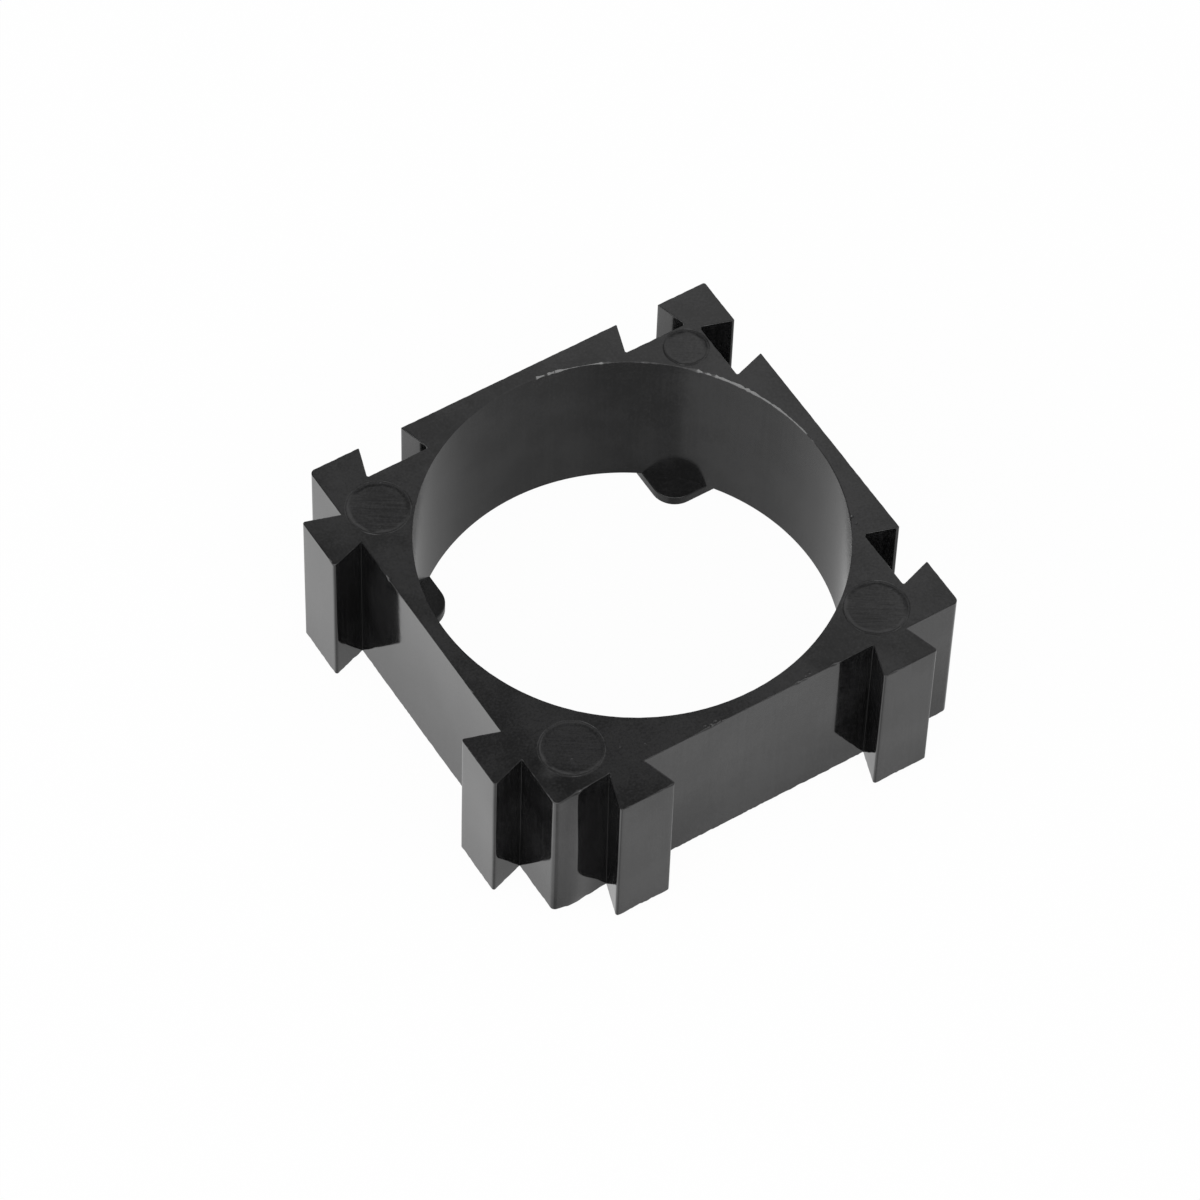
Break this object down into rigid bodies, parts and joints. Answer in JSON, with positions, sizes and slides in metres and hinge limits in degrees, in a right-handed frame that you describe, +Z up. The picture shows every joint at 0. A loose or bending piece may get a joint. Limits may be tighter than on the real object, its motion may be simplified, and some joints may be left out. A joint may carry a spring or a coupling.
{
  "type": "battery cell holder bracket",
  "caption": "Square moulded ring that grips the end of a round battery cell, with dovetail tongues and slots that lock brackets side by side, and corner feet that stop the cell.",
  "frame": {"origin": "middle of the bounding box on the bottom face, the side with the feet", "axes": "+Z up along the bore, from the feet to the open mouth; the tongues stand out on -X and -Y, the slots open on +X and +Y"},
  "size_m": [0.0216, 0.0216, 0.0085],
  "materials": {
    "black_plastic": "black moulded plastic, glossy with a faint flow grain"
  },
  "bodies": {
    "root": {"cell_holder_bracket": "black_plastic"}
  },
  "joints": []
}
